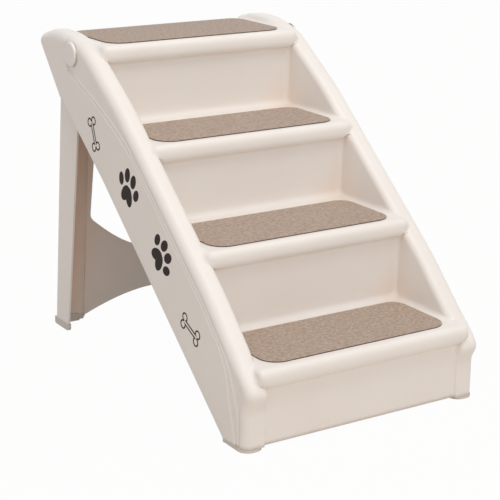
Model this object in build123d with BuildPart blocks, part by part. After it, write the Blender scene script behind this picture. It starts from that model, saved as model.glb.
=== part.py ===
from build123d import *
import os
from math import atan2, cos, degrees, hypot, radians, sin

os.makedirs("parts", exist_ok=True)

# Folding pet stairs in moulded plastic. Origin on the floor under the middle of the
# stairs, X across, -Y towards the bottom step, +Z up. Lengths are in millimetres.

# Overall sizes
overall_width = 400.0
overall_depth = 620.0
overall_height = 495.0
half_width = overall_width / 2
front = -overall_depth / 2
rear = overall_depth / 2

# Moulding
wall = 3.0
rail_width = 35.0
crown_outer_radius = 15.0
crown_inner_radius = 10.0
relief_step = 0.8
overrun = 60.0

# Steps
nose_radius = 12.0
under_nose_radius = 3.0
tread_corner_radius = 11.0
tread_height_shares = [0.2352, 0.4897, 0.7325, 0.978]
nose_place_shares = [0.0, 0.2281, 0.4695, 0.7155]
lip_radius = 8.0
lip_length = 30.0
lip_setback = 27.0
nose_end_length = 50.0

# Carpet pads
pad_side_margin = 10.0
pad_back_margin = 1.7
pad_thickness = 2.4
pad_recess = 1.2
pad_setback = 3.0
first_pad_setback = 6.0
pad_front_radius = 28.0
pad_back_radius = 22.0
pad_side_gap = 0.4
pad_edge_radius = 0.8

# Front feet
foot_height = 4.0
foot_spread = 0.2
foot_corner_radius = 15.0
foot_plug_height = 6.0
foot_plug_gap = 1.0
foot_plug_corner = 8.0

# Hinge
pin_radius = 5.0
pin_fit = 0.05
pin_head_radius = 11.0
pin_head_thickness = 2.2
pin_tail = 2.0
groove_depth = 0.6
boss_radius = 14.0
boss_depth = 4.4
spacer_radius = 9.0
spacer_thickness = 5.2
face_gap = 0.3
cap_radius = 18.5
cap_height = 4.5
cap_rim_radius = 2.5
washer_radius = 10.5
washer_thickness = 1.0
clip_radius = 8.5
clip_thickness = 2.4
clip_fit = 0.05
clip_slot = 7.0

# Folding leg
leg_lean_share = 0.104
leg_front_lean_share = 0.154
leg_foot_depth = 46.5
leg_corner_radius = 4.0
leg_top_radius = 15.0
leg_top_gap = 11.0
leg_hub_radius = 10.0
leg_hub_length = 4.0
leg_post_width = 49.0
leg_step = 2.5
leg_fold_angle = 57.0
leg_fold_gap = 5.0
window_post = 56.0
window_head = 85.0
window_sag = 68.0
window_low_share = 0.38
window_taper = 8.0
window_corner_radius = 16.0
window_dip_share = 1.75
arch_post = 50.0
arch_height = 39.0
arch_shoulder = 7.0
arch_rise_share = 1.5
boot_height = 12.0
boot_wall = 1.0
boot_strip = 10.0
boot_end = 10.0
boot_toe_radius = 6.0
boot_heel_radius = 4.0
stop_width = 12.0
stop_length = 10.0
stop_place_share = 0.8

# Stiffening webs under the steps
rib_thickness = 2.4
rib_place_shares = [-0.5, 0.5]

# Printed paws and bones on the side panels
print_thickness = 0.15
paw_size = 50.0
bone_reach = 19.0
bone_spread = 6.5
bone_knob_radius = 7.0
bone_shaft = 8.0
bone_line = 2.3

# Side outline of the stairs, from the lower rear corner round the front and over the
# top: shares of the overall depth and height, and the radius of each corner
side_outline_shares = [
    (0.0944, 0.0),
    (0.0145, 0.0),
    (0.0145, 0.124),
    (-0.0065, 0.1697),
    (0.1758, 0.397),
    (0.5871, 0.8253),
    (0.7597, 0.9707),
    (0.8532, 1.0),
    (0.9419, 1.0),
    (1.0113, 0.9879),
    (0.8839, 0.798),
    (0.6597, 0.5889),
]
post_bend, knee_radius, rail_low_bend, rail_high_bend = 12.0, 16.0, 500.0, 350.0
crown_front_bend, crown_bend, crown_back_bend = 110.0, 140.0, 130.0
back_corner_radius, back_bend = 7.7, 140.0
hollow_corner_radius = 13.0
side_radii = [0, 0, post_bend, knee_radius, rail_low_bend, rail_high_bend,
              crown_front_bend, crown_bend, crown_back_bend, back_corner_radius,
              back_bend, 0]
hollow_radii = side_radii[:9] + [hollow_corner_radius, back_bend, 0]

# Hinge centre, as shares of the overall depth and height
pivot_shares = [(0.8171, 0.942)]

# Two shallow mould steps on the side panels, from the hinge down to the front foot:
# beside the hinge cap as shares of its radius from the hinge centre, and then as shares
# of the overall depth and height
hinge_line_shares = [(1.0615, -0.508), (0.79, -1.154)]
rear_line_shares = [(0.742, 0.8475), (0.704, 0.82), (0.542, 0.7165), (0.404, 0.587),
                    (0.282, 0.473), (0.195, 0.379), (0.1355, 0.3), (0.093, 0.2065),
                    (0.0785, 0.1335), (0.0495, 0.0)]
front_line_shares = [(0.742, 0.8475), (0.671, 0.8135), (0.527, 0.721), (0.39, 0.602),
                     (0.271, 0.4736), (0.178, 0.3738), (0.11, 0.281), (0.0725, 0.195),
                     (0.055, 0.1442), (0.018, 0.0)]

# Prints on a side panel: place as shares of the overall depth and height, then the
# turn from upright in degrees
paw_place_shares = [(0.5325, 0.5817), (0.386, 0.4345)]
paw_turns = [22.0, 58.0]
bone_place_shares = [(0.7, 0.7215), (0.2415, 0.2727)]
bone_turns = [-19.0, -65.0]

# Parts of one paw as shares of its size: centre, half width and half height of each
# ellipse, then its tilt in degrees; each is repeated on the other half of the paw
heel_lobe_shares = (0.12, -0.03, 0.185, 0.3)
inner_toe_shares = (0.185, 0.54, 0.15, 0.225)
outer_toe_shares = (0.47, 0.25, 0.14, 0.2)
heel_tilt, inner_toe_tilt, outer_toe_tilt = 25.0, -5.0, -18.0


def on_side(shares):
    """Points of the side view for shares of the overall depth and height."""
    return [(front + overall_depth * y, overall_height * z) for y, z in shares]


tread_heights = [overall_height * share for share in tread_height_shares]
nose_places = [front + overall_depth * share for share in nose_place_shares]
riser_places = [place + nose_radius + under_nose_radius for place in nose_places]
pad_setbacks = [first_pad_setback] + [pad_setback] * 3
pad_fronts = [place + nose_radius + back for place, back in zip(nose_places, pad_setbacks)]
side_points = on_side(side_outline_shares)
inner_half_width = half_width - rail_width
panel_face = half_width - 2 * relief_step
panel_inner = panel_face - wall
pivot_y, pivot_z = on_side(pivot_shares)[0]

# The first step sets the depth of the three lower pads; the top pad ends at the lip
top_tread_end = side_points[9][0] - lip_setback
pad_width = 2 * (inner_half_width - pad_side_margin)
pad_depth = riser_places[1] - tread_corner_radius - pad_back_margin - pad_fronts[0]
pad_depths = [pad_depth] * 3 + [top_tread_end - pad_fronts[3]]

# The back edge of the side outline sets the slant of the top step's rear lip
back_low, back_high = side_points[10], side_points[9]
back_length = hypot(back_high[0] - back_low[0], back_high[1] - back_low[1])
lip_y = (back_high[0] - back_low[0]) / back_length
lip_z = (back_high[1] - back_low[1]) / back_length

# Leg: its rear face leans back from the top to the foot, and folds up to lie level
# with the lower edges of the side panels
leg_half_width = panel_inner - boss_depth - spacer_thickness - face_gap
leg_top = tread_heights[3] - wall - leg_top_gap
leg_panel_depth = leg_step + wall
leg_inner = leg_half_width - wall
post_inner = leg_half_width - leg_post_width
window_half_width = leg_half_width - window_post
window_top = leg_top - window_head
window_low = leg_top * window_low_share
arch_half_width = leg_half_width - arch_post
leg_lean_angle = degrees(atan2(leg_lean_share, 1))


def leg_rear(z):
    """Place of the leg's rear face at height z."""
    return rear - boot_wall - leg_lean_share * z


def leg_front(z):
    """Place of the front edge of the leg's side flanges at height z."""
    return rear - boot_wall - leg_foot_depth - leg_front_lean_share * z


leg_offset = (leg_rear(pivot_z) - pivot_y) * cos(radians(leg_lean_angle))
rib_offset = leg_offset - leg_panel_depth - leg_fold_gap
fold_slant = radians(leg_fold_angle - leg_lean_angle)


def rib_edge(y):
    """Height of the lower edge of the stiffening webs, clear of the folded leg."""
    return pivot_z + ((y - pivot_y) * cos(fold_slant) - rib_offset) / sin(fold_slant)


def stair_chain(inset):
    """Lines and arcs of the stair surface in the side view, moved inwards by inset.

    Every arc keeps its centre when the surface moves, so only its radius changes.
    Returns the chain's two ends, under the front panel and under the rear lip."""
    start = (riser_places[0] + inset, foot_height)
    below = start
    for step, (place, height) in enumerate(zip(nose_places, tread_heights)):
        nose_y = place + nose_radius
        under_z = height - 2 * nose_radius - under_nose_radius
        Line(below, (riser_places[step] + inset, under_z))
        CenterArc((nose_y, under_z), under_nose_radius + inset, 0, 90)
        CenterArc((nose_y, height - nose_radius), nose_radius - inset, 90, 180)
        if step < len(nose_places) - 1:
            corner_y = riser_places[step + 1] - tread_corner_radius
            corner_z = height + tread_corner_radius
            Line((nose_y, height - inset), (corner_y, height - inset))
            CenterArc((corner_y, corner_z), tread_corner_radius + inset, -90, 90)
            below = (riser_places[step + 1] + inset, corner_z)
    Line((nose_y, height - inset), (top_tread_end, height - inset))
    slant = degrees(atan2(-lip_y, lip_z))
    turn_z, turn = height - lip_radius, lip_radius - inset
    CenterArc((top_tread_end, turn_z), turn, slant, 90 - slant)
    lip_start = (top_tread_end + turn * lip_z, turn_z - turn * lip_y)
    end = (lip_start[0] - lip_length * lip_y, lip_start[1] - lip_length * lip_z)
    Line(lip_start, end)
    return start, end


def under_stairs(inset):
    """All of the side view that lies under the stair surface moved in by inset."""
    with BuildSketch() as region:
        with BuildLine():
            start, end = stair_chain(inset)
            behind = (end[0] + overrun * lip_z, end[1] - overrun * lip_y)
            Polyline(end, behind, (behind[0], -overrun), (start[0], -overrun), start)
        make_face()
    return region.sketch


def rounded_outline(points, radii):
    """Closed side-view outline with its corners rounded."""
    with BuildSketch() as outline:
        with BuildLine():
            Polyline(*points, close=True)
        make_face()
        for point, radius in zip(points, radii):
            if radius:
                fillet(outline.vertices().sort_by_distance(Vector(*point))[0], radius)
    return outline.sketch


def ahead_of_line(line_shares):
    """Region of the side view in front of and above one mould line."""
    top, bend = [(pivot_y + cap_radius * y, pivot_z + cap_radius * z)
                 for y, z in hinge_line_shares]
    line = on_side(line_shares)
    above, ahead = overall_height + overrun, front - overrun
    with BuildSketch() as region:
        with BuildLine():
            Polyline((top[0], above), top, bend, line[0])
            Spline(*line)
            Polyline(line[-1], (line[-1][0], -overrun), (ahead, -overrun),
                     (ahead, above), (top[0], above))
        make_face()
    return region.sketch


def rim(face):
    """Edges of a side face that run over the front and top of the rail."""
    low, high = side_points[0], back_low
    slope = (high[1] - low[1]) / (high[0] - low[0])
    return face.edges().filter_by(
        lambda edge: edge.center().Z > slope * (edge.center().Y - low[0]) + rail_width)


def pad_outline(step, gap):
    """Outline of the carpet pad on one step, grown by gap all round."""
    depth = pad_depths[step] + 2 * gap
    middle = pad_fronts[step] - gap + depth / 2
    with BuildSketch() as outline:
        with Locations((0, middle)):
            Rectangle(pad_width + 2 * gap, depth)
        fillet(outline.vertices().group_by(Axis.Y)[0], pad_front_radius + gap)
        fillet(outline.vertices().group_by(Axis.Y)[-1], pad_back_radius + gap)
    return outline.sketch


# Hollows of the side rails, rounded inside as the rails are outside
with BuildPart() as rail_hollows:
    with BuildSketch(Plane.YZ.offset(inner_half_width + wall)):
        add(rounded_outline(side_points, hollow_radii))
        offset(amount=-wall, mode=Mode.REPLACE)
    extrude(amount=panel_inner - inner_half_width - wall)
    fillet(rim(faces().sort_by(Axis.X)[-1]), crown_outer_radius - 2 * relief_step - wall)
    fillet(rim(faces().sort_by(Axis.X)[0]), crown_inner_radius - wall)
    mirror(about=Plane.YZ)

# The rails' open undersides, and the gaps in their inner walls below the treads, which
# let the leg fold up between the side panels
with BuildPart() as rail_mouths:
    mouth_front = side_points[2][0] + 2 * wall
    mouth_back = back_high[0] - back_corner_radius
    mouth_top = back_high[1] - back_corner_radius
    with BuildSketch(Plane.YZ):
        with BuildLine():
            Polyline((mouth_front, -overrun), (mouth_front, side_points[2][1]),
                     (mouth_back, mouth_top), (rear + overrun, mouth_top),
                     (rear + overrun, -overrun), close=True)
        make_face()
        add(under_stairs(wall), mode=Mode.INTERSECT)
    extrude(amount=panel_inner, both=True)
    with BuildSketch(Plane.YZ):
        add(rounded_outline(side_points, side_radii))
        offset(amount=-crown_inner_radius, mode=Mode.REPLACE)
        add(under_stairs(wall), mode=Mode.INTERSECT)
    extrude(amount=inner_half_width + wall, both=True)

# Webs under the treads, cut off above the folded leg
with BuildPart() as ribs:
    for share in rib_place_shares:
        with BuildSketch(Plane.YZ.offset(inner_half_width * share)):
            add(under_stairs(wall / 2))
            with BuildLine():
                Polyline((front, rib_edge(front)), (pivot_y, rib_edge(pivot_y)),
                         (pivot_y, overall_height), (front, overall_height), close=True)
            make_face(mode=Mode.INTERSECT)
        extrude(amount=rib_thickness / 2, both=True)

# Stair body: two hollow side rails with outer panels, joined by the folded sheet of
# treads and risers, all one moulding that is open underneath
with BuildPart() as stair_body:
    with BuildSketch(Plane.YZ.offset(inner_half_width)):
        add(rounded_outline(side_points, side_radii))
    extrude(amount=rail_width)
    fillet(rim(faces().sort_by(Axis.X)[-1]), crown_outer_radius)
    fillet(rim(faces().sort_by(Axis.X)[0]), crown_inner_radius)
    mirror(about=Plane.YZ)
    with BuildSketch(Plane.YZ):
        with BuildLine():
            outer_start, outer_end = stair_chain(0)
            inner_start, inner_end = stair_chain(2 * wall)
            Line(outer_start, inner_start)
            Line(outer_end, inner_end)
        make_face()
    extrude(amount=inner_half_width + wall, both=True)
    with BuildSketch(Plane.YZ):
        for place, height in zip(nose_places, tread_heights):
            with Locations((place + nose_radius, height - nose_radius)):
                Circle(nose_radius)
                Rectangle(nose_end_length, 2 * nose_radius, align=(Align.MIN, Align.CENTER))
    extrude(amount=inner_half_width + crown_inner_radius, both=True)
    add(rail_hollows.part, mode=Mode.SUBTRACT)
    add(rail_mouths.part, mode=Mode.SUBTRACT)
    with BuildSketch(Plane.YZ):
        add(under_stairs(wall))
    extrude(amount=inner_half_width, both=True, mode=Mode.SUBTRACT)
    add(ribs.part)
    for side in (-1, 1):
        for line, depth in ((rear_line_shares, 1), (front_line_shares, 2)):
            face_x = half_width - depth * relief_step
            with BuildSketch(Plane.YZ.offset(side * face_x)):
                add(ahead_of_line(line))
            extrude(amount=side * overrun, mode=Mode.SUBTRACT)
        with BuildSketch(Plane.YZ.offset(side * (panel_inner - boss_depth))):
            with Locations((pivot_y, pivot_z)):
                Circle(boss_radius)
        extrude(amount=side * (boss_depth + wall / 2))
        with BuildSketch(Plane.YZ.offset(side * (panel_inner - boss_depth))):
            with Locations((pivot_y, pivot_z)):
                Circle(pin_radius + pin_fit)
        extrude(amount=side * overrun, mode=Mode.SUBTRACT)
        stop_y = leg_rear(leg_top) - stop_length / 2
        with BuildSketch(Plane.XY.offset(leg_top + face_gap)):
            with Locations((side * stop_place_share * leg_inner, stop_y)):
                Rectangle(stop_width, stop_length)
        extrude(amount=leg_top_gap - face_gap + wall / 2)
    for step, height in enumerate(tread_heights):
        with BuildSketch(Plane.XY.offset(height - pad_recess)):
            add(pad_outline(step, pad_side_gap))
        extrude(amount=overrun / 2, mode=Mode.SUBTRACT)
    with BuildSketch(Plane.XY.offset(foot_height)):
        Rectangle(overall_width + overrun, overall_depth + overrun)
    extrude(amount=-2 * overrun, mode=Mode.SUBTRACT)
stair_body.part.label = "stair_body"
export_step(stair_body.part, "parts/stair_body.step")

# Carpet pads, let into the treads
for step, height in enumerate(tread_heights):
    with BuildPart() as tread_pad:
        with BuildSketch(Plane.XY.offset(height - pad_recess)):
            add(pad_outline(step, 0))
        extrude(amount=pad_thickness)
        fillet(tread_pad.faces().sort_by(Axis.Z)[-1].edges(), pad_edge_radius)
    name = f"tread_pad_{step + 1}"
    tread_pad.part.label = name
    export_step(tread_pad.part, f"parts/{name}.step")

# Leg frame: side flanges that carry the hinges, and a panel across the back with a
# window between the posts and an arch at the floor
with BuildPart() as leg_frame:
    for reach, back in ((leg_half_width, 0), (post_inner, leg_step)):
        with BuildSketch(Plane.YZ):
            with BuildLine():
                Polyline((leg_rear(foot_height) - back, foot_height),
                         (leg_rear(leg_top) - back, leg_top),
                         (leg_rear(leg_top) - back - wall, leg_top),
                         (leg_rear(foot_height) - back - wall, foot_height), close=True)
            make_face()
        extrude(amount=reach, both=True)
        if not back:
            with BuildSketch(Plane.YZ):
                with BuildLine():
                    Polyline((leg_rear(foot_height) + wall, foot_height - wall),
                             (leg_rear(leg_top) + wall, leg_top + wall),
                             (leg_rear(leg_top) - overrun, leg_top + wall),
                             (leg_rear(foot_height) - overrun, foot_height - wall),
                             close=True)
                make_face()
            extrude(amount=post_inner - wall, both=True, mode=Mode.SUBTRACT)
    for side in (-1, 1):
        with BuildSketch(Plane.YZ.offset(side * leg_inner)):
            with BuildLine():
                Polyline((leg_front(foot_height), foot_height),
                         (leg_rear(foot_height), foot_height),
                         (leg_rear(leg_top), leg_top), (pivot_y, leg_top),
                         (leg_front(pivot_z), pivot_z), close=True)
            make_face()
            with Locations((pivot_y, pivot_z)):
                Circle(leg_top_radius)
        extrude(amount=side * wall)
        with BuildSketch(Plane.YZ.offset(side * (leg_inner - leg_hub_length))):
            with Locations((pivot_y, pivot_z)):
                Circle(leg_hub_radius)
        extrude(amount=side * leg_hub_length)
        with BuildSketch(Plane.YZ.offset(side * (leg_inner - leg_hub_length))):
            with Locations((pivot_y, pivot_z)):
                Circle(pin_radius + pin_fit)
        extrude(amount=side * overrun, mode=Mode.SUBTRACT)
        with BuildSketch(Plane.YZ.offset(side * (post_inner - wall))):
            with BuildLine():
                Polyline((leg_rear(foot_height), foot_height),
                         (leg_rear(leg_top), leg_top),
                         (leg_rear(leg_top) - leg_panel_depth, leg_top),
                         (leg_rear(foot_height) - leg_panel_depth, foot_height),
                         close=True)
            make_face()
        extrude(amount=side * wall)
    corners = leg_frame.edges().filter_by(
        lambda edge: edge.length > leg_top / 2
        and abs(edge.center().X) > leg_inner + wall / 2
        and edge.center().Y > leg_rear(edge.center().Z) - wall / 2)
    fillet(corners, leg_corner_radius)
    with BuildSketch(Plane.XZ):
        with BuildLine():
            low = Spline((-window_half_width, window_low), (0, window_low - window_sag),
                         (window_half_width, window_low),
                         tangents=[(window_half_width, -window_sag * window_dip_share),
                                   (window_half_width, window_sag * window_dip_share)])
            Polyline(low @ 1, (window_half_width - window_taper, window_top),
                     (window_taper - window_half_width, window_top), low @ 0)
        make_face()
        fillet(vertices(), window_corner_radius)
        with BuildLine():
            arch = Spline((-arch_half_width, arch_shoulder), (0, arch_height),
                          (arch_half_width, arch_shoulder),
                          tangents=[(arch_half_width, arch_height * arch_rise_share),
                                    (arch_half_width, -arch_height * arch_rise_share)])
            Polyline(arch @ 1, (arch_half_width, -overrun), (-arch_half_width, -overrun),
                     arch @ 0)
        make_face()
    extrude(amount=overall_depth, both=True, mode=Mode.SUBTRACT)
leg_frame.part.label = "leg_frame"
export_step(leg_frame.part, "parts/leg_frame.step")

# Hinge pieces, and feet, on each side
boss_end = panel_inner - boss_depth
washer_end = leg_inner - leg_hub_length - face_gap - washer_thickness
clip_end = washer_end - clip_thickness
pin_end = clip_end - pin_tail
with BuildPart() as hinge_pin:
    with BuildSketch(Plane.YZ.offset(pin_end)):
        with Locations((pivot_y, pivot_z)):
            Circle(pin_radius)
    extrude(amount=panel_face - pin_end)
    with BuildSketch(Plane.YZ.offset(panel_face)):
        with Locations((pivot_y, pivot_z)):
            Circle(pin_head_radius)
    extrude(amount=pin_head_thickness)
    with BuildSketch(Plane.YZ.offset(clip_end - clip_fit)):
        with Locations((pivot_y, pivot_z)):
            Circle(pin_radius + wall)
            Circle(pin_radius - groove_depth, mode=Mode.SUBTRACT)
    extrude(amount=clip_thickness + 2 * clip_fit, mode=Mode.SUBTRACT)
    chamfer(hinge_pin.faces().sort_by(Axis.X)[0].edges(), groove_depth)
    fillet(hinge_pin.faces().sort_by(Axis.X)[-1].edges(), groove_depth)

with BuildPart() as hinge_cap:
    with BuildSketch(Plane.YZ.offset(panel_face)):
        with Locations((pivot_y, pivot_z)):
            Circle(cap_radius)
    extrude(amount=cap_height)
    fillet(hinge_cap.faces().sort_by(Axis.X)[-1].edges(), cap_rim_radius)
    with BuildSketch(Plane.YZ.offset(panel_face)):
        with Locations((pivot_y, pivot_z)):
            Circle(pin_head_radius + face_gap)
    extrude(amount=pin_head_thickness + face_gap, mode=Mode.SUBTRACT)

with BuildPart() as hinge_spacer:
    with BuildSketch(Plane.YZ.offset(leg_half_width + face_gap)):
        with Locations((pivot_y, pivot_z)):
            Circle(spacer_radius)
            Circle(pin_radius + pin_fit, mode=Mode.SUBTRACT)
    extrude(amount=boss_end - leg_half_width - face_gap)

with BuildPart() as pin_washer:
    with BuildSketch(Plane.YZ.offset(washer_end)):
        with Locations((pivot_y, pivot_z)):
            Circle(washer_radius)
            Circle(pin_radius + pin_fit, mode=Mode.SUBTRACT)
    extrude(amount=washer_thickness)

with BuildPart() as pin_clip:
    with BuildSketch(Plane.YZ.offset(clip_end)):
        with Locations((pivot_y, pivot_z)):
            Circle(clip_radius)
            Circle(pin_radius - groove_depth + pin_fit, mode=Mode.SUBTRACT)
            Rectangle(clip_slot, overrun, align=(Align.CENTER, Align.MAX),
                      mode=Mode.SUBTRACT)
    extrude(amount=clip_thickness)

# Front foot: a rubber pad with a plug that fits inside the rail's lower end
with BuildPart() as front_foot:
    foot_front = side_points[1][0] - foot_spread
    foot_back = side_points[0][0] + foot_height + foot_spread
    with BuildSketch():
        with Locations((inner_half_width + rail_width / 2, (foot_front + foot_back) / 2)):
            Rectangle(rail_width + 2 * foot_spread, foot_back - foot_front)
        fillet(vertices().group_by(Axis.Y)[0], foot_corner_radius)
    extrude(amount=foot_height)
    plug_front = side_points[1][0] + wall + foot_plug_gap
    plug_back = side_points[0][0] - foot_height
    with BuildSketch(Plane.XY.offset(foot_height)):
        plug_inside = inner_half_width + wall + foot_plug_gap
        with Locations(((plug_inside + panel_inner - foot_plug_gap) / 2,
                        (plug_front + plug_back) / 2)):
            Rectangle(panel_inner - foot_plug_gap - plug_inside, plug_back - plug_front)
        fillet(vertices().group_by(Axis.Y)[0], foot_plug_corner)
    extrude(amount=foot_plug_height)

# Rear foot: a rubber boot round the lower end of a leg post, with a strip that runs
# under the back panel to the arch
with BuildPart() as rear_foot:
    toe, strip_end = leg_front(boot_height) - boot_wall, post_inner + boot_end
    with BuildSketch():
        with BuildLine():
            Polyline((leg_half_width + boot_wall, toe), (leg_half_width + boot_wall, rear),
                     (post_inner, rear), (post_inner, rear - wall - 2 * boot_wall),
                     (strip_end, rear - wall - 2 * boot_wall),
                     (strip_end, rear - boot_strip), (leg_inner - boot_wall, rear - boot_strip),
                     (leg_inner - boot_wall, toe), close=True)
        make_face()
    extrude(amount=boot_height)
    sole = rear_foot.faces().sort_by(Axis.Z)[0]
    fillet(sole.edges().sort_by(Axis.Y)[-1], boot_heel_radius)
    fillet(rear_foot.edges().filter_by(Axis.X).group_by(Axis.Z)[0].sort_by(Axis.Y)[0],
           boot_toe_radius)
    add(leg_frame.part, mode=Mode.SUBTRACT)


def paw():
    """Paw print with a two-lobed heel and four toes, centred on the heel."""
    with BuildSketch() as print_shape:
        for side in (-1, 1):
            for shares, tilt in ((heel_lobe_shares, heel_tilt),
                                 (inner_toe_shares, inner_toe_tilt),
                                 (outer_toe_shares, outer_toe_tilt)):
                along, up, half_across, half_up = [paw_size * share for share in shares]
                with Locations((side * along, up)):
                    Ellipse(half_across, half_up, rotation=side * tilt)
    return print_shape.sketch


def bone():
    """Outline of a bone: a shaft with two knobs at each end, drawn as a thin line."""
    with BuildSketch() as print_shape:
        for inset, mode in ((0, Mode.ADD), (bone_line, Mode.SUBTRACT)):
            Rectangle(bone_shaft - 2 * inset, 2 * bone_reach, mode=mode)
            with GridLocations(2 * bone_spread, 2 * bone_reach, 2, 2):
                Circle(bone_knob_radius - inset, mode=mode)
    return print_shape.sketch


# Prints on the outer face of the side panel
with BuildPart() as side_print:
    with BuildSketch(Plane.YZ.offset(half_width)):
        prints = [(bone(), bone_place_shares, bone_turns), (paw(), paw_place_shares, paw_turns)]
        for shape, shares, turns in prints:
            for place, turn in zip(on_side(shares), turns):
                with Locations(Location((*place, 0), (0, 0, turn))):
                    add(shape)
    extrude(amount=print_thickness)

pieces = {"hinge_cap": hinge_cap, "hinge_pin": hinge_pin, "hinge_spacer": hinge_spacer,
          "pin_washer": pin_washer, "pin_clip": pin_clip, "front_foot": front_foot,
          "rear_foot": rear_foot, "side_print": side_print}
for name, piece in pieces.items():
    piece.part.label = f"{name}_right"
    export_step(piece.part, f"parts/{name}_right.step")
    with BuildPart() as other_side:
        add(mirror(piece.part, about=Plane.YZ))
    other_side.part.label = f"{name}_left"
    export_step(other_side.part, f"parts/{name}_left.step")
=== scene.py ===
"""Looks for the folding pet stairs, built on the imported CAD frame.

Values are millimetres in the row frame unless a comment says otherwise; meshes are
made in metres. An ease is the length over which a change fades in or out.
"""

import math

import bmesh
import bpy
import numpy as np
from mathutils import Matrix, Vector


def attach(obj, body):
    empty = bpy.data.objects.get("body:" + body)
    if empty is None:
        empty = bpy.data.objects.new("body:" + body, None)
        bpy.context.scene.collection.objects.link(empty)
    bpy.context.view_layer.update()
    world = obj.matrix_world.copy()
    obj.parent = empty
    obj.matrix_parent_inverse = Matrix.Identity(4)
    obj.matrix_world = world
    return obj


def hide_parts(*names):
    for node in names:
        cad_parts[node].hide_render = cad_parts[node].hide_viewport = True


MM = 0.001
TINY = 1e-6  # keeps a division off zero

# Sizes shared with the CAD source
DEPTH, HEIGHT = 620.0, 495.0
FRONT = -DEPTH / 2
TREADS = [HEIGHT * s for s in (0.2352, 0.4897, 0.7325, 0.978)]
NOSES = [FRONT + DEPTH * s for s in (0.0, 0.2281, 0.4695, 0.7155)]
NOSE_R, UNDER_R, CORNER_R, LIP_R, LIP_LENGTH = 12.0, 3.0, 11.0, 8.0, 30.0
WALL, FLOOR_GAP, RELIEF, EDGE_R = 3.0, 4.0, 0.8, 1.5
PANEL_X, RAIL_INNER, CROWN_INNER_R, CROWN_OUTER_R = 200.0, 165.0, 10.0, 15.0
PAD_FRONTS = [NOSES[0] + NOSE_R + 6.0] + [y + NOSE_R + 3.0 for y in NOSES[1:]]
PAD_DEPTHS, PAD_WIDTH = [125.7, 125.7, 125.7, 141.4], 310.0
PAD_FRONT_R, PAD_BACK_R = 28.0, 22.0
PIVOT = (FRONT + DEPTH * 0.8171, HEIGHT * 0.942)
CAP_R = 18.5
WEB_X, WEB_HALF, WEB_OFFSET, WEB_SINK = 82.5, 1.2, 52.56, 2.0
FOLD_COS, FOLD_SIN = 0.6285, 0.7778  # of the folded leg's slant
STOP_X, STOP_HALF, STOP_Y, STOP_Z, STOP_LENGTH = 146.0, 6.0, 249.6, 470.4, 10.0

# Lines of the side view, as shares of the depth and height
SIDE_SHARES = [
    (0.0944, 0.0), (0.0145, 0.0), (0.0145, 0.124), (-0.0065, 0.1697),
    (0.1758, 0.397), (0.5871, 0.8253), (0.7597, 0.9707), (0.8532, 1.0),
    (0.9419, 1.0), (1.005, 0.979), (0.8839, 0.798), (0.6597, 0.5889),
]
SIDE_RADII = [0, 0, 12, 16, 500, 350, 110, 140, 130, 4, 140, 0]
REAR_LINE = [
    (0.742, 0.8475), (0.704, 0.82), (0.542, 0.7165), (0.404, 0.587), (0.282, 0.473),
    (0.195, 0.379), (0.1355, 0.3), (0.093, 0.2065), (0.0785, 0.1335), (0.0495, 0.0),
]
FRONT_LINE = [
    (0.742, 0.8475), (0.671, 0.8135), (0.527, 0.721), (0.39, 0.602), (0.271, 0.4736),
    (0.178, 0.3738), (0.11, 0.281), (0.0725, 0.195), (0.055, 0.1442), (0.018, 0.0),
]
HINGE_LINE = np.array(PIVOT) + CAP_R * np.array([(1.0615, -0.508), (0.79, -1.154)])

# Noses, and how they run out under the rails
NOSE_HALF, NOSE_POWER = 14.0, 2.5  # half height and fullness; power 2 is an ellipse
NOSE_REACH = 9.0
NOSE_CLEAR, NOSE_EASE = 8.0, 12.0  # crown's height over the tread where a nose starts
NOSE_SPREAD, NOSE_WINDOW = 44.0, 26.0  # windows that even out neighbouring sections
FIRST_TOP, FIRST_EASE = 150.0, 20.0  # below this height lies the first nose
FIRST_REACH, FIRST_TIGHTER = 5.0, 3.0  # it reaches further, round tighter bends

# Rails
POST_R = 4.0  # sharper inner bend of the crown up the front post
POST_TOP, POST_EASE, POST_SETTLE = 52.0, 26.0, 80.0  # heights above the floor
WALL_LEAN, WALL_LEAN_EASE = 3.0, 70.0  # draft of a tall inner wall
REAR_LEAN, REAR_LEAN_EASE = 58.0, 50.0  # sections lean over this far before the corner
REAR_FLARE = 10.0  # how far the crown draws in at the rear corner
LIP_EASE, LIP_SHARES = 8.0, [0, 0.4, 1]  # the lip's rows end about the rear corner
TANGENT_HALF = 1.5  # the crown's tangent is taken over this distance either way

# Step of the side panel beside the hinge, with grid rows laid close on both sides
HINGE_ROWS = (1.6, 0.5, -0.5, -1.6)
HINGE_DIP, HINGE_DIP_EASE, HINGE_EASE = 1.5, 7.0, 40.0

# Side panel: levels of relief count inwards, in steps of RELIEF, from its outer face.
# Each mould line is a row of (distance past the line, level, columns up to there).
RAIL_LEVEL = 2
FRONT_STEP = ((-2.0, 3, 4), (-0.5, 3, 1), (0.5, 1, 1), (2.0, 1, 1))
REAR_STEP = ((-2.0, 2, 3), (-0.5, 2, 1), (0.5, 0, 1), (2.0, 0, 1))
FRONT_MARGIN, LINE_APART = 3.0, 4.8  # from the crown, and between the two lines
FRONT_LIMIT, REAR_LIMIT, NO_LINE = 0.9, 0.95, 0.3  # shares of a row
SHORT_ROW, SHORT_EDGE = 10.0, 6.0  # shorter rows are treated as this long
FOOT_SLANT = 1.2  # depth per height of the lower edge, just above the floor
PANEL_PLACES = (-220.0, 100.0)  # y on the crown whose rows end at the middle two feet
PANEL_FEET = (45.0, 140.0, 530.0, 565.0)  # distances along the lower edge
POST_HEIGHT, FAR = 100.0, 1e3  # crown points below that height count as far away

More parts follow.
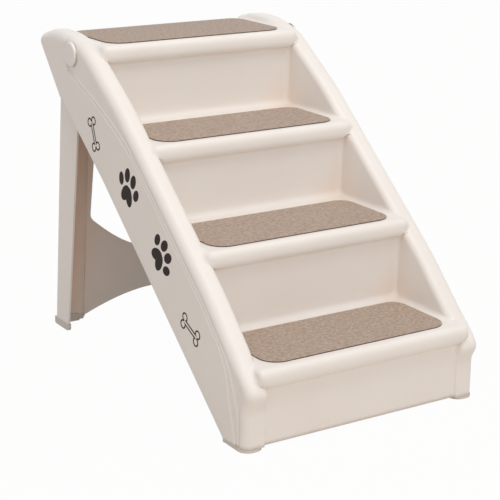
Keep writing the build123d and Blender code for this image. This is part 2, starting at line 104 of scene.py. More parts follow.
# Points in each stretch of the profile, and columns in each stretch of a section
FRONT_ROWS, RISER_ROWS, UNDER_ROWS, NOSE_ROWS = 14, 7, 5, 21
TREAD_ROWS, CORNER_ROWS, TOP_ROWS, BEND_ROWS, LIP_ROWS = 12, 9, 16, 17, 7
TREAD_COLS, RAIL_COLS, CROWN_COLS, PANEL_COLS = 9, 23, 10, 6
BEND_SHARE, BEND_EASE = 0.13, 30.0  # columns that a tall rail's bends give to its wall
ARC_STEP, LEAST_ARC, LINE_POINTS, PAD_CORNER = 1.5, 4, 160, 14
ROW_GAP, WELD = 1e-3, 0.02  # keeps meeting rows apart; merges points this close

# Rings up a carpet pad's worn edge: inset and height above the tread
PAD_RINGS = [(0.0, 0.05), (0.0, 0.9), (0.25, 1.35), (0.8, 1.6), (6.0, 1.65)]

# Sizes of the materials' marks
FLOW_MARK = 143.0  # mottle left by the flow of the melt
GLOSS_MARK = 16.67  # change of gloss over a moulded face
TOOL_GRAIN = 0.667  # satin texture of the tool, drawn coarser than real so it shows
FIBRE = 0.909  # bundle of fibres; a single fibre is too fine to show
TUFT = 4.76  # clump of needled pile
FINE_GRAIN = 1.11  # grain of the small parts, drawn coarser than real so it shows
AO_SAMPLES = 8

# Light, floor and camera
WORLD = 0.57
LAMPS = (  # name, place and size in metres, power in watts
    ("key", (-0.6, -2.6, 1.0), 1.4, 13),
    ("top", (0.1, -0.7, 2.6), 1.8, 26),
    ("fill", (-2.5, -0.4, 0.8), 1.8, 2),
)
LAMP_AIM = (0, 0, 0.25)  # metres
FLOOR_HALF, FLOOR_DROP, FLOOR_GLOW = 9000, 0.3, 0.97
CAMERA_PLACE = (-1.1944, -1.8715, 0.8486)  # metres
CAMERA_TURN = (-32.53, 16.82, 0.466)  # azimuth, elevation and roll in degrees
FOCAL_PIXELS, IMAGE_PIXELS, SENSOR = 1516.4, 500, 36


def side_view(shares):
    """Side-view points (y, z) in millimetres for shares of the depth and height."""
    return np.array([(FRONT + DEPTH * y, HEIGHT * z) for y, z in shares])


def unit(values):
    """Values held between 0 and 1."""
    return np.clip(values, 0, 1)


def normed(vectors):
    """Vectors divided by their lengths."""
    return vectors / np.linalg.norm(vectors, axis=-1, keepdims=True)


def arc(centre, radius, start, end, count):
    """Points on a circle, angles in degrees, both ends included."""
    a = np.radians(np.linspace(start, end, count))
    return np.stack([centre[0] + radius * np.cos(a), centre[1] + radius * np.sin(a)], 1)


def nose_curve(centre, count):
    """Nose of a step from its underside round the front to its top.

    It is half a superellipse |y / r| ^ p + |z / h| ^ p = 1, flatter in front than a
    circle."""
    a = np.radians(np.linspace(270, 90, count))
    wave = np.stack([np.cos(a), np.sin(a)], 1)
    half = np.array([NOSE_R, NOSE_HALF])
    return np.array(centre) + half * np.sign(wave) * np.abs(wave) ** (2 / NOSE_POWER)


def rounded_chain(points, radii):
    """Open chain with an arc of the given radius at each inner corner.

    At a corner turning by t, the arc touches both sides radius * tan(t / 2) away."""
    out = [points[0]]
    for before, corner, after, radius in zip(points, points[1:], points[2:], radii):
        a, b = normed(before - corner), normed(after - corner)
        turn = math.pi - math.acos(np.clip(a @ b, -1, 1))
        reach = radius * math.tan(turn / 2)
        centre = corner + normed(a + b) * radius / math.cos(turn / 2)
        p, q = corner + a * reach, corner + b * reach
        t0 = math.atan2(*(p - centre)[::-1])
        sweep = (math.atan2(*(q - centre)[::-1]) - t0 + math.pi) % (2 * math.pi) - math.pi
        count = max(LEAST_ARC, int(abs(sweep) * radius / ARC_STEP))
        for t in t0 + sweep * np.linspace(0, 1, count):
            out.append(centre + radius * np.array([math.cos(t), math.sin(t)]))
    out.append(points[-1])
    return np.array(out)


def lengths(chain):
    """Distance along a chain at each of its points."""
    steps = np.linalg.norm(np.diff(chain, axis=0), axis=1)
    return np.concatenate([[0], np.cumsum(steps)])


def along(chain, distance):
    """Points of a chain at the given distances along it."""
    d = lengths(chain)
    return np.stack([np.interp(distance, d, chain[:, k]) for k in range(2)], -1)


def nearest(chain, point):
    """Distance along a chain to its point that is nearest to another point."""
    return lengths(chain)[np.argmin(np.linalg.norm(chain - point, axis=1))]


def smooth_line(points):
    """Catmull-Rom curve through given points.

    Between b and c, with a before and d after, it is half of
        2 b + (c - a) t + (2 a - 5 b + 4 c - d) t^2 + (3 b - a - 3 c + d) t^3."""
    p = np.vstack([2 * points[0] - points[1], points, 2 * points[-1] - points[-2]])
    u = np.linspace(0, len(points) - 1 - 1e-9, LINE_POINTS)
    i, t = u.astype(int), (u % 1)[:, None]
    a, b, c, d = p[i], p[i + 1], p[i + 2], p[i + 3]
    return 0.5 * (2 * b + (c - a) * t + (2 * a - 5 * b + 4 * c - d) * t ** 2
                  + (3 * b - a - 3 * c + d) * t ** 3)


def straight(start, end, count):
    """Evenly spaced points after start, up to and including end."""
    t = np.linspace(0, 1, count + 1)[1:, None]
    return np.asarray(start) * (1 - t) + np.asarray(end) * t


side = side_view(SIDE_SHARES)
BACK_LOW, BACK_HIGH = side[10], side[9]
BACK_DIR = normed(BACK_HIGH - BACK_LOW)
TOP_END = PAD_FRONTS[3] + PAD_DEPTHS[3]


def stair_profile():
    """Side-view points of the treads and risers, from the floor up to the rear lip.

    Each nose is half a superellipse on top of the riser, with a small quarter circle
    under it; each riser meets the tread below it in a quarter circle. Returns the
    points and the row at which the lip begins."""
    risers = [y + NOSE_R + UNDER_R for y in NOSES]
    parts = [np.array([[risers[0], FLOOR_GAP]])]
    for k, (nose, top) in enumerate(zip(NOSES, TREADS)):
        centre_y, under = nose + NOSE_R, top - 2 * NOSE_HALF - UNDER_R
        rows = FRONT_ROWS if k == 0 else RISER_ROWS
        parts.append(straight(parts[-1][-1], (risers[k], under), rows))
        parts.append(arc((centre_y, under), UNDER_R, 0, 90, UNDER_ROWS)[1:])
        parts.append(nose_curve((centre_y, top - NOSE_HALF), NOSE_ROWS)[1:])
        if k < len(NOSES) - 1:
            corner = (risers[k + 1] - CORNER_R, top + CORNER_R)
            parts.append(straight((centre_y, top), (corner[0], top), TREAD_ROWS))
            parts.append(arc(corner, CORNER_R, -90, 0, CORNER_ROWS)[1:])
    parts.append(straight((centre_y, top), (TOP_END, top), TOP_ROWS))
    lip_row = sum(len(p) for p in parts) - 1
    slant = math.degrees(math.atan2(-BACK_DIR[0], BACK_DIR[1]))
    parts.append(arc((TOP_END, top - LIP_R), LIP_R, 90, slant, BEND_ROWS)[1:])
    return np.vstack(parts), lip_row


def spread(d, values, window):
    """Mean of values over a window along d; both end values stay as they are.

    It is the running integral's change across the window, divided by its length."""
    total = np.concatenate([[0], np.cumsum(np.diff(d) * (values[1:] + values[:-1]) / 2)])
    half = np.minimum(window / 2, np.minimum(d - d[0], d[-1] - d))[1:-1]
    low, high = (np.interp(d[1:-1] + move, d, total) for move in (-half, half))
    return np.concatenate([values[:1], (high - low) / (2 * half), values[-1:]])


def make_object(name, points, faces, material, smooth=True):
    """Object from points in millimetres and faces of point numbers."""
    mesh = bpy.data.meshes.new(name)
    mesh.from_pydata((np.asarray(points) * MM).tolist(), [], [list(f) for f in faces])
    mesh.validate()
    mesh.polygons.foreach_set("use_smooth", [smooth] * len(mesh.polygons))
    obj = bpy.data.objects.new(name, mesh)
    bpy.context.scene.collection.objects.link(obj)
    obj.data.materials.append(material)
    return obj


def weld(obj, distance):
    """Merges points closer than a distance in millimetres."""
    mesh = bmesh.new()
    mesh.from_mesh(obj.data)
    bmesh.ops.remove_doubles(mesh, verts=mesh.verts, dist=distance * MM)
    bmesh.ops.dissolve_degenerate(mesh, edges=mesh.edges, dist=distance * MM)
    mesh.to_mesh(obj.data)
    mesh.free()


def grid_faces(rows, cols):
    """Quads of a rows by cols grid of points numbered row by row."""
    i, j = np.meshgrid(np.arange(rows - 1), np.arange(cols - 1), indexing="ij")
    a = (i * cols + j).ravel()
    return np.stack([a, a + 1, a + cols + 1, a + cols], 1)


def at_x(x, points):
    """Side-view points carried out to x, as (x, y, z)."""
    return np.column_stack([x, points])


def crown_rows(profile, lip_row, crown):
    """Pairs each profile row with a place Q on the crown, as a distance along it.

    A row P on the treads meets the crown where P . s = Q . s, with s along the rail's
    slope. The lip's rows end about the rear corner. Four more rows are laid at the
    step beside the hinge. Returns the rows, their distances, and those of the hinge
    step and the rear corner."""
    slope = normed(side[5] - side[4])
    crown_d = lengths(crown)
    reach = np.maximum.accumulate(crown @ slope + TINY * crown_d)
    p_along = profile @ slope
    lead = (p_along[0] - reach[0]) * unit(1 - profile[:, 1] / POST_SETTLE)
    p_along = np.maximum.accumulate(p_along - lead)
    q_d = np.interp(p_along[:lip_row + 1], reach, crown_d)
    q_d = spread(lengths(profile[:lip_row + 1]), q_d, NOSE_SPREAD)
    corner_d = nearest(crown, BACK_HIGH)
    rest = lengths(profile[lip_row:])[1:]
    stops = [q_d[-1], corner_d - LIP_EASE, corner_d + LIP_EASE]
    q_d = np.concatenate([q_d, np.interp(rest / rest[-1], LIP_SHARES, stops)])

    hinge_d = nearest(crown, np.array([HINGE_LINE[0][0], HEIGHT]))
    k = int(np.searchsorted(q_d, hinge_d))
    for move in HINGE_ROWS:
        f = (hinge_d + move - q_d[k - 1]) / (q_d[k] - q_d[k - 1])
        row = profile[k - 1] * (1 - f) + profile[k] * f
        profile = np.insert(profile, k, row, axis=0)
        q_d = np.insert(q_d, k, hinge_d + move)
    return profile, q_d, hinge_d, corner_d


def panel_feet(crown, q_d, hinge_d):
    """Points of the side panel's lower edge at which the rows end.

    Distances along the crown are mapped to distances along the edge, in proportion
    between the front knee, two places on the slope and the hinge step."""
    crown_d = lengths(crown)
    lower = np.vstack([
        [side[0][0] + FLOOR_GAP * FOOT_SLANT, FLOOR_GAP], side[11], side[10]])
    post = FAR * (crown[:, 1] < POST_HEIGHT)
    places = [crown_d[np.argmin(np.abs(crown[:, 0] - y) + post)] for y in PANEL_PLACES]
    knee = crown_d[np.argmin(crown[:, 0])]
    knots = [0, knee, *places, hinge_d, q_d[-1]]
    return along(lower, np.interp(q_d, knots, [0, *PANEL_FEET, lengths(lower)[-1]]))


def line_shares(line, top, ray, span):
    """Share of its way down the side panel at which each row crosses a mould line.

    The row's ray crosses between two points of the line whose offsets from the ray,
    the cross products with it, differ in sign; the place is in proportion to them."""
    curve = np.vstack([HINGE_LINE[1:], smooth_line(side_view(line))])
    rel = curve - top[:, None]
    off = rel[..., 1] * ray[:, :1] - rel[..., 0] * ray[:, 1:]
    crosses = off[:, :-1] * off[:, 1:] <= 0
    i, k = np.arange(len(top)), crosses.argmax(1)
    f = (off[i, k] / (off[i, k] - off[i, k + 1] + 1e-12))[:, None]
    hit = ((rel[i, k] * (1 - f) + rel[i, k + 1] * f) * ray).sum(1)
    return np.where(crosses.any(1), hit / np.maximum(span, TINY), NO_LINE)


def panel_columns(top, foot, face):
    """Columns of a side panel, from the crown's edge down round its lower edge.

    Each row runs straight from top to foot, S = top + v * (foot - top). The columns
    keep their distance from the two mould lines, and between their stops the level of
    relief changes in proportion; face gives the x of a level."""
    span = np.linalg.norm(foot - top, axis=1)
    ray = (foot - top) / np.maximum(span, TINY)[:, None]
    step = 1.0 / np.maximum(span, SHORT_ROW)
    front_at = line_shares(FRONT_LINE, top, ray, span)
    front_at = np.clip(front_at, FRONT_MARGIN * step, FRONT_LIMIT)
    rear_at = line_shares(REAR_LINE, top, ray, span)
    rear_at = np.clip(np.maximum(rear_at, front_at + LINE_APART * step), 0, REAR_LIMIT)
    tail = 1 - EDGE_R / np.maximum(span, SHORT_EDGE)
    stops = [(at + past * step, level, count)
             for at, steps in ((front_at, FRONT_STEP), (rear_at, REAR_STEP))
             for past, level, count in steps]
    cols, was_at, was_level = [], np.zeros(len(top)), RAIL_LEVEL
    for at, level, count in stops + [(tail, 0, PANEL_COLS)]:
        for u in np.linspace(0, 1, count + 1)[1:]:
            x = face(was_level + (level - was_level) * u)
            v = was_at + (at - was_at) * u
            cols.append(at_x(x, top + (v * span)[:, None] * ray))
        was_at, was_level = at, level
    for a in np.radians((30, 60, 90)):
        x = np.full(len(top), PANEL_X - EDGE_R * (1 - math.cos(a)))
        v = tail + (1 - tail) * math.sin(a)
        cols.append(at_x(x, top + (v * span)[:, None] * ray))
    return cols


def stair_shell(material):
    """The one-piece stair moulding as a sheet that solidify makes 3 mm thick.

    Row i of the grid starts at profile point P(i) and belongs to point Q(i) of the
    rail's crown, with crown normal n and tangent t. Across the stairs the surface is
        S = P + n * h(x) + t * w(x) * ((Q - P) . t)
    where h goes from 0 at the tread to L = (Q - P) . n at the crown. It does so by
    two equal arcs that turn by a = 2 atan(|L| / 2r) each, at most a quarter circle,
    with a straight wall between them where L is more than 2r. The crown's quarter
    circle then turns it down into the side panel."""
    profile, lip_row = stair_profile()
    crown = rounded_chain(
        np.vstack([[side[1][0], FLOOR_GAP], side[2:11]]), SIDE_RADII[2:10])
    profile, q_d, hinge_d, corner_d = crown_rows(profile, lip_row, crown)
    rows = len(profile)

    # normal and tangent: towards the rear the sections lean over by a smooth step,
    # 3 u^2 - 2 u^3, until the last lies in the back edge
    q = along(crown, q_d)
    ahead = along(crown, np.clip(q_d + TANGENT_HALF, 0, lengths(crown)[-1]))
    behind = along(crown, np.clip(q_d - TANGENT_HALF, 0, None))
    t = normed(ahead - behind)
    lean_back = unit((q_d - corner_d + REAR_LEAN) / REAR_LEAN_EASE)
    lean_back = lean_back ** 2 * (3 - 2 * lean_back)
    n = np.stack([-t[:, 1], t[:, 0]], 1)
    n = normed(n * (1 - lean_back[:, None]) + BACK_DIR * lean_back[:, None])
    t = np.stack([n[:, 1], -n[:, 0]], 1)
    height = ((q - profile) * n).sum(1)
    shift = ((q - profile) * t).sum(1)

    # section across: tread, inner arc, wall, crown arc
    above_post = unit((profile[:, 1] - POST_TOP) / POST_EASE)
    at_nose = unit((NOSE_CLEAR - height) / NOSE_EASE) * above_post
    at_nose = spread(lengths(profile) + ROW_GAP * np.arange(rows), at_nose, NOSE_WINDOW)
    at_nose = at_nose * unit((hinge_d - q_d) / HINGE_EASE)
    first = at_nose * unit((FIRST_TOP - profile[:, 1]) / FIRST_EASE)
    r = CROWN_INNER_R + (POST_R - CROWN_INNER_R) * (1 - above_post)
    r = r - FIRST_TIGHTER * first
    turn = np.minimum(2 * np.arctan(np.abs(height) / (2 * r)), math.pi / 2)
    radius = r / np.maximum(np.sin(turn), TINY)
    sign = np.sign(height)
    right = RAIL_INNER + r + NOSE_REACH * at_nose + FIRST_REACH * first
    left = right - 2 * r
    lean = WALL_LEAN * unit((np.abs(height) - 2 * r) / WALL_LEAN_EASE)
    gap = np.abs(height) - 2 * radius * (1 - np.cos(turn))
    bend = 0.5 - BEND_SHARE * unit(gap / BEND_EASE)
    cols = [at_x(u * (left - lean), profile)
            for u in np.linspace(0, 1, TREAD_COLS)[:-1]]
    for u in np.linspace(0, 1, RAIL_COLS):
        wall = unit((u - bend) / np.maximum(1 - 2 * bend, TINY))
        if u < 0.5:
            a = unit(u / bend) * turn
            x = left - lean * (1 - wall) + radius * np.sin(a)
            h = sign * (radius * (1 - np.cos(a)) + wall * gap)
        else:
            a = unit((1 - u) / bend) * turn
            x = right - lean * (1 - wall) - radius * np.sin(a)
            h = height - sign * (radius * (1 - np.cos(a)) + (1 - wall) * gap)
        cols.append(at_x(x, profile + h[:, None] * n + (u * shift)[:, None] * t))

    # crown's outer arc
    beyond = q_d > hinge_d
    dip = np.where(beyond, 0, HINGE_DIP * unit(1 - (hinge_d - q_d) / HINGE_DIP_EASE))

    def face(level):
        """x of the side panel's surface at a level of relief."""
        sunk = np.where(beyond, PANEL_X, PANEL_X - level * RELIEF)
        return sunk - dip * min(level / RAIL_LEVEL, 1)

    outer = face(RAIL_LEVEL) - (PANEL_X - CROWN_OUTER_R) - FIRST_TIGHTER * first
    flare = REAR_FLARE * lean_back
    base = profile + shift[:, None] * t + height[:, None] * n
    for a in np.linspace(0, math.pi / 2, CROWN_COLS):
        x = face(RAIL_LEVEL) - (outer + flare) * (1 - math.sin(a))
        cols.append(at_x(x, base - (outer * (1 - math.cos(a)))[:, None] * n))

    cols += panel_columns(base - outer[:, None] * n, panel_feet(crown, q_d, hinge_d), face)

    # both halves, and the lip that hangs from the last row behind the top tread
    half = np.stack(cols, 1)
    grid = np.concatenate([half[:, :0:-1] * np.array([-1, 1, 1]), half], 1)
    count = grid.shape[1]
    points, faces = grid.reshape(-1, 3), grid_faces(rows, count).tolist()
    middle = np.nonzero(np.abs(grid[-1, :, 0]) <= left[-1])[0]
    edge = (rows - 1) * count + middle
    for drop in np.linspace(0, LIP_LENGTH, LIP_ROWS)[1:]:
        ids = len(points) + np.arange(len(middle))
        points = np.vstack([points, grid[-1, middle] - drop * np.array([0, *BACK_DIR])])
        faces += np.stack([edge[:-1], edge[1:], ids[1:], ids[:-1]], 1).tolist()
        edge = ids
    obj = make_object("stair_shell", points, faces, material)
    weld(obj, WELD)
    solid = obj.modifiers.new("thickness", "SOLIDIFY")
    solid.thickness, solid.offset = WALL * MM, -1
    solid.use_quality_normals = True
    return obj


def prism(points, x_low, x_high):
    """Vertices and faces of a side-view outline carried from x_low to x_high."""
    count = len(points)
    verts = [(x, y, z) for x in (x_low, x_high) for y, z in points]
    faces = [list(range(count))[::-1], list(range(count, 2 * count))]
    faces += [[i, (i + 1) % count, (i + 1) % count + count, i + count]
              for i in range(count)]
    return verts, faces


def stair_webs(material):
    """Two webs under the steps, cut off clear of the folded leg, and the leg's stops.

    With the leg folded at a slant s, a web's lower edge lies at
        z = z0 + ((y - y0) * cos s - offset) / sin s
    about the pivot (y0, z0)."""
    def low_edge(y):
        """Point of a web's lower edge at y."""
        return y, PIVOT[1] + ((y - PIVOT[0]) * FOLD_COS - WEB_OFFSET) / FOLD_SIN

    profile, lip_row = stair_profile()
    profile = profile[:lip_row + 1]
    d = normed(np.gradient(profile, axis=0))
    inner = profile + WEB_SINK * np.stack([d[:, 1], -d[:, 0]], 1)
    keep = inner[inner[:, 0] < PIVOT[0]]
    edge = [(PIVOT[0], keep[-1][1]), low_edge(PIVOT[0]), low_edge(keep[0][0])]
    outline = np.vstack([keep, edge])
    outline[:, 1] = np.maximum(outline[:, 1], FLOOR_GAP)
    stop_top, stop_back = TREADS[3] - WALL / 2, STOP_Y + STOP_LENGTH
    stop = [(STOP_Y, STOP_Z), (stop_back, STOP_Z), (stop_back, stop_top),
            (STOP_Y, stop_top)]
    shapes = [(outline, x, WEB_HALF) for x in (-WEB_X, WEB_X)]
    shapes += [(stop, x, STOP_HALF) for x in (-STOP_X, STOP_X)]
    verts, faces = [], []
    for points, x, half in shapes:
        v, f = prism(points, x - half, x + half)
        faces += [[i + len(verts) for i in numbers] for numbers in f]
        verts += v
    return make_object("stair_webs", verts, faces, material, smooth=False)


def carpet_pad(number, material):
    """One carpet pad: a cut rectangle with round corners whose top edge is worn round.

    It is a stack of rings, each a corner-rounded rectangle of four arcs drawn in by
    the ring's inset."""
    front, depth = PAD_FRONTS[number], PAD_DEPTHS[number]
    half, back = PAD_WIDTH / 2, PAD_FRONTS[number] + PAD_DEPTHS[number]
    corners = [(half, front, PAD_FRONT_R, -90), (half, back, PAD_BACK_R, 0),
               (-half, back, PAD_BACK_R, 90), (-half, front, PAD_FRONT_R, 180)]
    verts = []
    for inset, above in PAD_RINGS:
        for x, y, r, start in corners:
            centre = (x - math.copysign(r, x), y + r if y == front else y - r)
            turned = arc(centre, r - inset, start, start + 90, PAD_CORNER)
            verts += [(px, py, TREADS[number] + above) for px, py in turned]
    count = len(corners) * PAD_CORNER
    faces = [[k * count + i, k * count + (i + 1) % count,
              (k + 1) * count + (i + 1) % count, (k + 1) * count + i]
             for k in range(len(PAD_RINGS) - 1) for i in range(count)]
    faces += [list(range(count))[::-1], list(range(len(verts) - count, len(verts)))]
    return make_object(f"carpet_{number + 1}", verts, faces, material)


def colour(hex_text):
    """Linear RGBA of an sRGB hex colour."""
    c = [int(hex_text[i:i + 2], 16) / 255 for i in (0, 2, 4)]
    return [v / 12.92 if v <= 0.04045 else ((v + 0.055) / 1.055) ** 2.4 for v in c] + [1.0]


def new_material(name):
    """Empty node material with its tree."""
    mat = bpy.data.materials.new(name)
    mat.use_nodes = True
    mat.node_tree.nodes.clear()
    return mat, mat.node_tree


def node(tree, kind, inputs=None, stops=(), **settings):
    """Adds a node with its settings and links.

    Each input is a value, a socket, or a node whose first output it takes. The stops
    of a colour ramp are (place, hex colour) pairs."""
    made = tree.nodes.new(kind)
    for key, value in settings.items():
        setattr(made, key, value)
    for key, value in (inputs or {}).items():
        if isinstance(value, bpy.types.Node):
            value = value.outputs[0]
        if isinstance(value, bpy.types.NodeSocket):
            tree.links.new(value, made.inputs[key])
        else:
            made.inputs[key].default_value = value
    if stops:
        items = made.color_ramp.elements
        while len(items) < len(stops):
            items.new(0.5)
        for item, (place, text) in zip(items, stops):
            item.position, item.color = place, colour(text)
    return made


def moulded_plastic(name, reach, stops, alone=True, near=None):
    """Injection-moulded polypropylene, warm white.

    The flow of the melt leaves tone and gloss faintly uneven, and the tool a fine satin
    texture, so its highlights are broad and soft. Corners closed in within the reach, in
    millimetres, take the stops' painted warm shade, for light bounced between the walls;
    fillets closed in within the near reach stay out of it. Unless it is alone,
    a piece's neighbours close its corners in too."""
    mat, tree = new_material(name)
    place = node(tree, "ShaderNodeTexCoord").outputs["Object"]
    marks = {"Vector": place, "Detail": 3.0, "Roughness": 0.55}
    flow = node(tree, "ShaderNodeTexNoise", {**marks, "Scale": 1 / (FLOW_MARK * MM)})
    tone = node(tree, "ShaderNodeValToRGB", {"Fac": flow},
                stops=[(0.3, "EFE9E3"), (0.7, "F2EDE8")])
    # painted shade: corners closed in take the stops' darker warm tone in the base colour
    closed = node(tree, "ShaderNodeAmbientOcclusion", {"Distance": reach * MM},
                  samples=AO_SAMPLES, only_local=alone)
    painted_shade = node(tree, "ShaderNodeValToRGB", {"Fac": closed.outputs["AO"]}, stops=stops)
    if near:
        close = node(tree, "ShaderNodeAmbientOcclusion", {"Distance": near * MM},
                     samples=AO_SAMPLES, only_local=alone)
        free = node(tree, "ShaderNodeValToRGB", {"Fac": close.outputs["AO"]},
                    stops=[(0.6, "000000"), (0.95, "FFFFFF")])
        painted_shade = node(tree, "ShaderNodeMixRGB", {0: free, 1: (1, 1, 1, 1), 2: painted_shade})
    tone = node(tree, "ShaderNodeMixRGB", {0: 1.0, 1: tone, 2: painted_shade},
                blend_type="MULTIPLY")
    grain = node(tree, "ShaderNodeTexNoise", {
        **marks, "Scale": 1 / (TOOL_GRAIN * MM), "Detail": 2.0})
    bump = node(tree, "ShaderNodeBump", {
        "Height": grain, "Strength": 0.06, "Distance": 0.2 * MM})
    sheen = node(tree, "ShaderNodeTexNoise", {**marks, "Scale": 1 / (GLOSS_MARK * MM)})
    gloss = node(tree, "ShaderNodeMapRange", {
        "Value": sheen, "To Min": 0.36, "To Max": 0.46})
    shader = node(tree, "ShaderNodeBsdfPrincipled", {
        "Base Color": tone, "Roughness": gloss, "Normal": bump,
        "Specular IOR Level": 0.45})
    node(tree, "ShaderNodeOutputMaterial", {"Surface": shader})
    return mat


def needled_carpet():
    """Short needle-punched polyester pile, heathered taupe.

    Fibres of three dyed tones lie in clumps, so it looks dull and speckled, with a soft
    sheen at a grazing angle. Round the pad's cut edge, where the surface turns away
    from straight up, it is darkened: painted shade along the edge."""
    mat, tree = new_material("needle_punch_carpet_taupe")
    where = node(tree, "ShaderNodeTexCoord")
    fibres = node(tree, "ShaderNodeTexNoise", {
        "Vector": where.outputs["Object"], "Scale": 1 / (FIBRE * MM),
        "Detail": 4.0, "Roughness": 0.7})
    tufts = node(tree, "ShaderNodeTexNoise", {
        "Vector": where.outputs["Object"], "Scale": 1 / (TUFT * MM),
        "Detail": 3.0, "Roughness": 0.6})
    both = node(tree, "ShaderNodeMath", {0: fibres, 1: tufts}, operation="ADD")
    pile = node(tree, "ShaderNodeMath", {0: both, 1: 0.5}, operation="MULTIPLY")
    heather = node(tree, "ShaderNodeValToRGB", {"Fac": pile},
                   stops=[(0.36, "8E7B6E"), (0.5, "AF9A89"), (0.64, "C7B3A3")])
    upright = node(tree, "ShaderNodeSeparateXYZ", {0: where.outputs["Normal"]})
    # painted shade where the pad's surface turns away from straight up
    edge = node(tree, "ShaderNodeValToRGB", {"Fac": upright.outputs["Z"]},
                stops=[(0.4, "7B6A5E"), (0.95, "FFFFFF")])
    tone = node(tree, "ShaderNodeMixRGB", {0: 1.0, 1: heather, 2: edge},
                blend_type="MULTIPLY")
    bump = node(tree, "ShaderNodeBump", {
        "Height": pile, "Strength": 0.8, "Distance": 1.2 * MM})
    shader = node(tree, "ShaderNodeBsdfPrincipled", {
        "Base Color": tone, "Roughness": 0.95, "Normal": bump, "Sheen Weight": 0.25,
        "Specular IOR Level": 0.15})
    node(tree, "ShaderNodeOutputMaterial", {"Surface": shader})
    return mat


def fine_grained(name, text, rough, metallic=0.0, specular=0.5):
    """One tone whose fine grain shows in its gloss and surface."""
    mat, tree = new_material(name)
    place = node(tree, "ShaderNodeTexCoord").outputs["Object"]
    grain = node(tree, "ShaderNodeTexNoise", {
        "Vector": place, "Scale": 1 / (FINE_GRAIN * MM), "Detail": 3.0,
        "Roughness": 0.55})
    gloss = node(tree, "ShaderNodeMapRange", {
        "Value": grain, "To Min": rough - 0.06, "To Max": rough + 0.06})
    bump = node(tree, "ShaderNodeBump", {
        "Height": grain, "Strength": 0.05, "Distance": 0.3 * MM})
    shader = node(tree, "ShaderNodeBsdfPrincipled", {
        "Base Color": colour(text), "Roughness": gloss, "Metallic": metallic,
        "Normal": bump, "Specular IOR Level": specular})
    node(tree, "ShaderNodeOutputMaterial", {"Surface": shader})
    return mat


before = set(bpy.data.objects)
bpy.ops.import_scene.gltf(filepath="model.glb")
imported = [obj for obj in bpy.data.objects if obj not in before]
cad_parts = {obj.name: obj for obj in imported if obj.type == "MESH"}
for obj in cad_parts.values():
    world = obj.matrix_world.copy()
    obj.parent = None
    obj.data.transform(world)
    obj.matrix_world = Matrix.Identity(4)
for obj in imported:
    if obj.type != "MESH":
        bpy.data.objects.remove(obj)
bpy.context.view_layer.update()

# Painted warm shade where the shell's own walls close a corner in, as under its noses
plastic = moulded_plastic("polypropylene_warm_white", 80,
                          [(0.1, "F6E4D4"), (0.6, "FFFFFF")])
# Deep between its flanges the leg takes on a painted tan shade
leg_plastic = moulded_plastic("polypropylene_warm_white_leg", 450,
                              [(0.5, "F1C199"), (0.95, "FFFFFF")], near=15)
# Painted shade: the cap darkens where it sits in its recess
cap_plastic = moulded_plastic("polypropylene_warm_white_cap", 12,
                              [(0.35, "A89282"), (0.8, "FFFFFF")], alone=False)
carpet = needled_carpet()
finishes = {
    "hinge_cap": cap_plastic,
    "leg_frame": leg_plastic,
    # screen-printed ink dries matt, with hardly a highlight
    "side_print": fine_grained("screen_ink_dark_brown", "281B1A", 0.65, specular=0.2),
    # moulded rubber: pale and dull, so it grips
    "front_foot": fine_grained("rubber_pale", "D9D2CB", 0.7),
    "rear_foot": fine_grained("rubber_pale_boot", "D9D2CB", 0.7),
    # steel drawn through a die, rolled to strip, and tempered for the spring clip:
    # bright, a little duller and darkest
    "hinge_pin": fine_grained("drawn_steel", "A9A9A7", 0.35, 1.0),
    "pin_washer": fine_grained("rolled_steel", "B0B0AE", 0.4, 1.0),
    "pin_clip": fine_grained("spring_steel", "8A8A88", 0.38, 1.0),
    # uncoloured moulded nylon: creamy, with a soft gloss
    "hinge_spacer": fine_grained("nylon_natural", "E2DED4", 0.5),
}
for name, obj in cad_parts.items():
    for start, finish in finishes.items():
        if name.startswith(start):
            obj.data.materials.clear()
            obj.data.materials.append(finish)

shell = stair_shell(plastic)
webs = stair_webs(plastic)
for piece in (shell, webs):
    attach(piece, "stairs")
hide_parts("stair_body")
for number in range(4):
    pad = carpet_pad(number, carpet)
    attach(pad, "stairs")
    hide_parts(f"tread_pad_{number + 1}")


def background_rays(tree):
    """1 for a ray of the camera, of gloss or of glass: the largest of their flags."""
    path = node(tree, "ShaderNodeLightPath")
    sees = path.outputs["Is Camera Ray"]
    for kind in ("Is Glossy Ray", "Is Transmission Ray"):
        sees = node(tree, "ShaderNodeMath", {0: sees, 1: path.outputs[kind]},
                    operation="MAXIMUM").outputs[0]
    return sees


def light_room(scene):
    """Even white world; the camera, gloss and glass see it pure white."""
    world = bpy.data.worlds.new("studio")
    world.use_nodes = True
    scene.world = world
    tree = world.node_tree
    tree.nodes.clear()
    light = node(tree, "ShaderNodeBackground", {
        "Color": colour("F8F8FA"), "Strength": WORLD})
    seen = node(tree, "ShaderNodeBackground", {"Color": (1, 1, 1, 1), "Strength": 1.0})
    mixed = node(tree, "ShaderNodeMixShader", {
        0: background_rays(tree), 1: light, 2: seen})
    node(tree, "ShaderNodeOutputWorld", {"Surface": mixed})


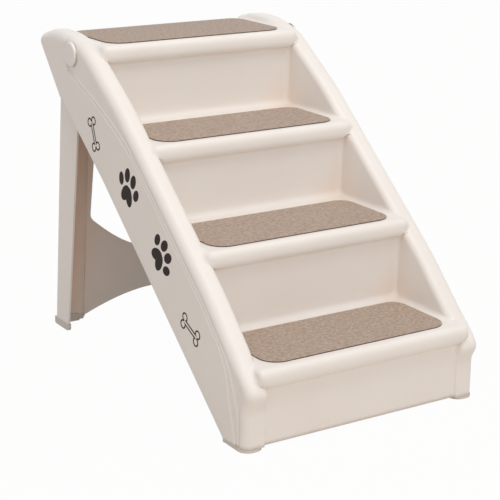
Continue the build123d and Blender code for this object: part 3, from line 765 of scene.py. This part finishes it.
def lay_floor():
    """Matt pale floor that glows white to the camera and keeps the object's shadow.

    From below it is clear, so that a low camera sees the underside."""
    mat, tree = new_material("studio_floor")
    matt = node(tree, "ShaderNodeBsdfDiffuse", {"Color": colour("D8CCC0")})
    glow = node(tree, "ShaderNodeEmission", {"Color": (1, 1, 1, 1), "Strength": 1.0})
    share = node(tree, "ShaderNodeMath", {0: background_rays(tree), 1: FLOOR_GLOW},
                 operation="MULTIPLY")
    mixed = node(tree, "ShaderNodeMixShader", {0: share, 1: matt, 2: glow})
    clear = node(tree, "ShaderNodeBsdfTransparent")
    under = node(tree, "ShaderNodeNewGeometry").outputs["Backfacing"]
    mixed = node(tree, "ShaderNodeMixShader", {0: under, 1: mixed, 2: clear})
    node(tree, "ShaderNodeOutputMaterial", {"Surface": mixed})
    corners = [(x * FLOOR_HALF, y * FLOOR_HALF, -FLOOR_DROP)
               for x, y in ((-1, -1), (1, -1), (1, 1), (-1, 1))]
    floor = make_object("studio_floor", corners, [(0, 1, 2, 3)], mat, smooth=False)


def hang_lamps(scene):
    """Soft key from the front left, a wide lamp overhead and a weak fill at the left."""
    for name, place, size, power in LAMPS:
        data = bpy.data.lights.new(name, "AREA")
        data.energy, data.size = power, size
        data.color = colour("FFFBF5")[:3]
        lamp = bpy.data.objects.new(name, data)
        lamp.location = place
        aim = Vector(LAMP_AIM) - Vector(place)
        lamp.rotation_mode = "QUATERNION"
        lamp.rotation_quaternion = aim.to_track_quat("-Z", "Y")
        scene.collection.objects.link(lamp)


def set_camera(scene):
    """The photograph's camera, from its place, three angles and focal length.

    It looks along minus back; roll turns its right and up axes about that line. The
    lens is the focal length in pixels times the sensor's width over the image's."""
    azimuth, elevation, roll = (math.radians(a) for a in CAMERA_TURN)
    back = Vector((math.sin(azimuth) * math.cos(elevation),
                   -math.cos(azimuth) * math.cos(elevation), math.sin(elevation)))
    flat = Vector((math.cos(azimuth), math.sin(azimuth), 0))
    up = back.cross(flat)
    right = flat * math.cos(roll) + up * math.sin(roll)
    up = up * math.cos(roll) - flat * math.sin(roll)
    data = bpy.data.cameras.new("photo_camera")
    data.sensor_width, data.lens = SENSOR, FOCAL_PIXELS * SENSOR / IMAGE_PIXELS
    data.clip_end = 50
    camera = bpy.data.objects.new("photo_camera", data)
    turn = Matrix((right, up, back)).transposed().to_4x4()
    camera.matrix_world = Matrix.Translation(Vector(CAMERA_PLACE)) @ turn
    scene.collection.objects.link(camera)
    scene.camera = camera


scene = bpy.context.scene
scene.view_settings.view_transform = "Standard"
light_room(scene)
lay_floor()
hang_lamps(scene)
set_camera(scene)
